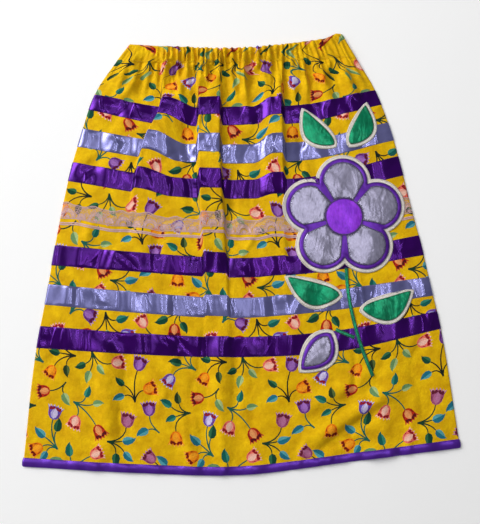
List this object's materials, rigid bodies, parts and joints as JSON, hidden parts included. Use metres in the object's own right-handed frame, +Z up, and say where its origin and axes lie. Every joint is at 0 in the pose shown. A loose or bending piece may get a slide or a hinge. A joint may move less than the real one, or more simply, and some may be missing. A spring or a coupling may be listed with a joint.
{
  "type": "ribbon skirt",
  "caption": "Ribbon skirt laid flat: gathered elastic waist, flared printed cotton body, satin ribbon rows, lace band, satin bound hem and a floral applique.",
  "frame": {"origin": "middle of the laid skirt's outline, on the floor that its back lies on", "axes": "+X across the skirt to the right as it is seen, +Y from hem to waist, +Z up from the floor, out of the front"},
  "size_m": [0.8124, 0.8596, 0.0209],
  "materials": {
    "cotton_print": "matte printed cotton, golden yellow with tulip sprigs",
    "satin_purple": "glossy satin ribbon",
    "satin_lavender": "glossy satin ribbon",
    "lace_mauve": "fine net lace with scalloped edge",
    "satin_binding": "glossy satin bias binding",
    "felt_white": "matte backing cloth",
    "metallic_violet": "crinkled metallic cloth",
    "metallic_silver": "crinkled metallic cloth",
    "metallic_green": "crinkled metallic cloth"
  },
  "bodies": {
    "root": {"back_panel": "cotton_print", "bud_backing": "felt_white", "bud_border": "metallic_violet", "bud_petal": "metallic_silver", "flower_backing": "felt_white", "flower_border": "metallic_violet", "flower_centre": "metallic_violet", "flower_petal_1": "metallic_silver", "flower_petal_2": "metallic_silver", "flower_petal_3": "metallic_silver", "flower_petal_4": "metallic_silver", "flower_petal_5": "metallic_silver", "front_panel": "cotton_print", "hem_binding_back": "satin_binding", "hem_binding_front": "satin_binding", "lace_band_4": "lace_mauve", "leaf_1": "metallic_green", "leaf_1_backing": "felt_white", "leaf_2": "metallic_green", "leaf_2_backing": "felt_white", "leaf_3": "metallic_green", "leaf_3_backing": "felt_white", "leaf_4": "metallic_green", "leaf_4_backing": "felt_white", "ribbon_lavender_2": "satin_lavender", "ribbon_lavender_6": "satin_lavender", "ribbon_purple_1": "satin_purple", "ribbon_purple_3": "satin_purple", "ribbon_purple_5": "satin_purple", "ribbon_purple_7": "satin_purple", "stem_bud": "metallic_green", "stem_main": "metallic_green", "waistband_back": "cotton_print", "waistband_front": "cotton_print"}
  },
  "joints": []
}
